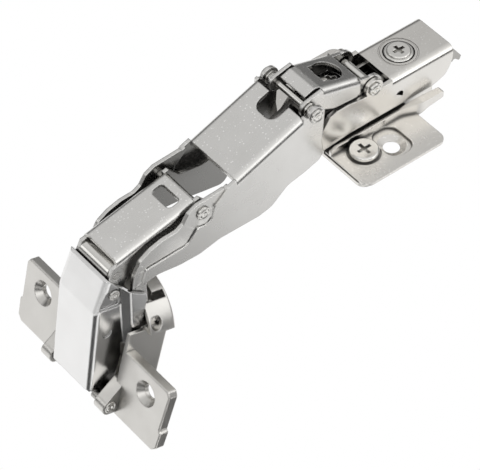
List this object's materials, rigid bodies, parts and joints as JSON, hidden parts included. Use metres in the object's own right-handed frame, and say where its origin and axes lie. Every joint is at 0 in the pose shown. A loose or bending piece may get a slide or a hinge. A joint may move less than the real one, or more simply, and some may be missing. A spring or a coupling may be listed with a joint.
{
  "type": "concealed cup hinge",
  "caption": "Wide-angle concealed cup hinge, fully open: screw-on plate with adjusters, folded arm, four pressed links and a flanged cup for a 35 mm bore.",
  "frame": {"origin": "on the cabinet panel's face, midway between the two fixing screws of the mounting plate", "axes": "+X from the rear of the arm towards the cup, +Y across the hinge towards the height screw, +Z away from the panel"},
  "size_m": [0.1394, 0.066, 0.0741],
  "materials": {
    "plate": "satin nickel plated sheet",
    "screw": "bright nickel plated",
    "arm": "satin nickel plated sheet",
    "core": "satin nickel plated sheet",
    "link": "satin nickel plated sheet",
    "rivet": "bright nickel plated",
    "sleeve": "plain steel tube",
    "cup": "nickel plated casting, slightly grained"
  },
  "bodies": {
    "mounting_plate": {"base_plate": "plate"},
    "adjuster": {"adjusting_plate": "plate"},
    "height_cam": {"height_cam_screw": "screw"},
    "carrier": {"arm_carrier": "core", "rear_axle": "rivet"},
    "depth_cam": {"depth_screw": "screw"},
    "arm": {"hinge_arm": "arm", "inner_arm": "core", "ear_rivet": "rivet", "nose_pin": "rivet"},
    "side_adjuster": {"side_screw": "screw"},
    "lever": {"release_lever": "core"},
    "inner_link": {"inner_link": "link", "scissor_rivet": "rivet", "tip_rivet": "rivet", "tip_sleeve": "sleeve"},
    "outer_link": {"outer_link": "link", "link_rod": "rivet", "rod_collars": "rivet"},
    "control_link": {"control_link": "link"},
    "cover_link": {"cover_link": "link"},
    "cup": {"hinge_cup": "cup", "cup_pin": "rivet", "knuckle_pins": "rivet"}
  },
  "joints": [
    {"name": "height_slide", "type": "slide", "parent": "mounting_plate", "child": "adjuster", "axis": [0, 1, 0], "range_m": [-0.002, 0.002]},
    {"name": "height_cam_spin", "type": "hinge", "parent": "adjuster", "child": "height_cam", "pos_m": [0.0086, 0.014, 0], "axis": [0, 0, 1], "range_deg": [-65.5, 65.5]},
    {"name": "depth_slide", "type": "slide", "parent": "adjuster", "child": "carrier", "axis": [1, 0, 0], "range_m": [-0.00156, 0.00156]},
    {"name": "depth_cam_spin", "type": "hinge", "parent": "carrier", "child": "depth_cam", "pos_m": [-0.0157, 0, 0], "axis": [0, 0, 1], "range_deg": [-60.5, 60.5]},
    {"name": "side_tilt", "type": "hinge", "parent": "carrier", "child": "arm", "pos_m": [-0.0234, 0, 0.0094], "axis": [0, 1, 0], "range_deg": [-1.8, 1.8]},
    {"name": "side_screw_spin", "type": "hinge", "parent": "arm", "child": "side_adjuster", "pos_m": [0.0098, 0, 0], "axis": [0, 0, 1], "range_deg": [-469, 469]},
    {"name": "lever_press", "type": "hinge", "parent": "carrier", "child": "lever", "pos_m": [-0.0234, 0, 0.0094], "axis": [0, 1, 0], "range_deg": [0, 12], "stiffness_Nm_per_rad": 0.02, "springref_deg": -5.73},
    {"name": "inner_link_swing", "type": "hinge", "parent": "arm", "child": "inner_link", "pos_m": [0.0399, 0, 0.0056], "axis": [0, 1, 0], "range_deg": [-131.23, 0]},
    {"name": "outer_link_swing", "type": "hinge", "parent": "inner_link", "child": "outer_link", "pos_m": [0.0634, 0, 0.0101], "axis": [0, 1, 0], "range_deg": [-0.02, 129.34]},
    {"name": "cup_swing", "type": "hinge", "parent": "outer_link", "child": "cup", "pos_m": [0.0836, 0, -0.0172], "axis": [0, 1, 0], "range_deg": [-163.11, 0.02]},
    {"name": "control_link_swing", "type": "hinge", "parent": "outer_link", "child": "control_link", "pos_m": [0.0238, 0, 0.0233], "axis": [0, 1, 0], "range_deg": [-127.39, 0.02]},
    {"name": "cover_link_swing", "type": "hinge", "parent": "inner_link", "child": "cover_link", "pos_m": [0.0929, 0, -0.0045], "axis": [0, 1, 0], "range_deg": [-0.02, 111.61]}
  ],
  "couplings": [
    {"joint": "height_cam_spin", "follows": "height_slide", "rad_per_m": -567.23},
    {"joint": "depth_cam_spin", "follows": "depth_slide", "rad_per_m": -671.28},
    {"joint": "side_screw_spin", "follows": "side_tilt", "ratio": 260},
    {"joint": "outer_link_swing", "follows": "inner_link_swing", "ratio": -0.98545},
    {"joint": "cup_swing", "follows": "inner_link_swing", "ratio": 1.2428},
    {"joint": "control_link_swing", "follows": "inner_link_swing", "ratio": 0.9706},
    {"joint": "cover_link_swing", "follows": "inner_link_swing", "ratio": -0.8503}
  ]
}
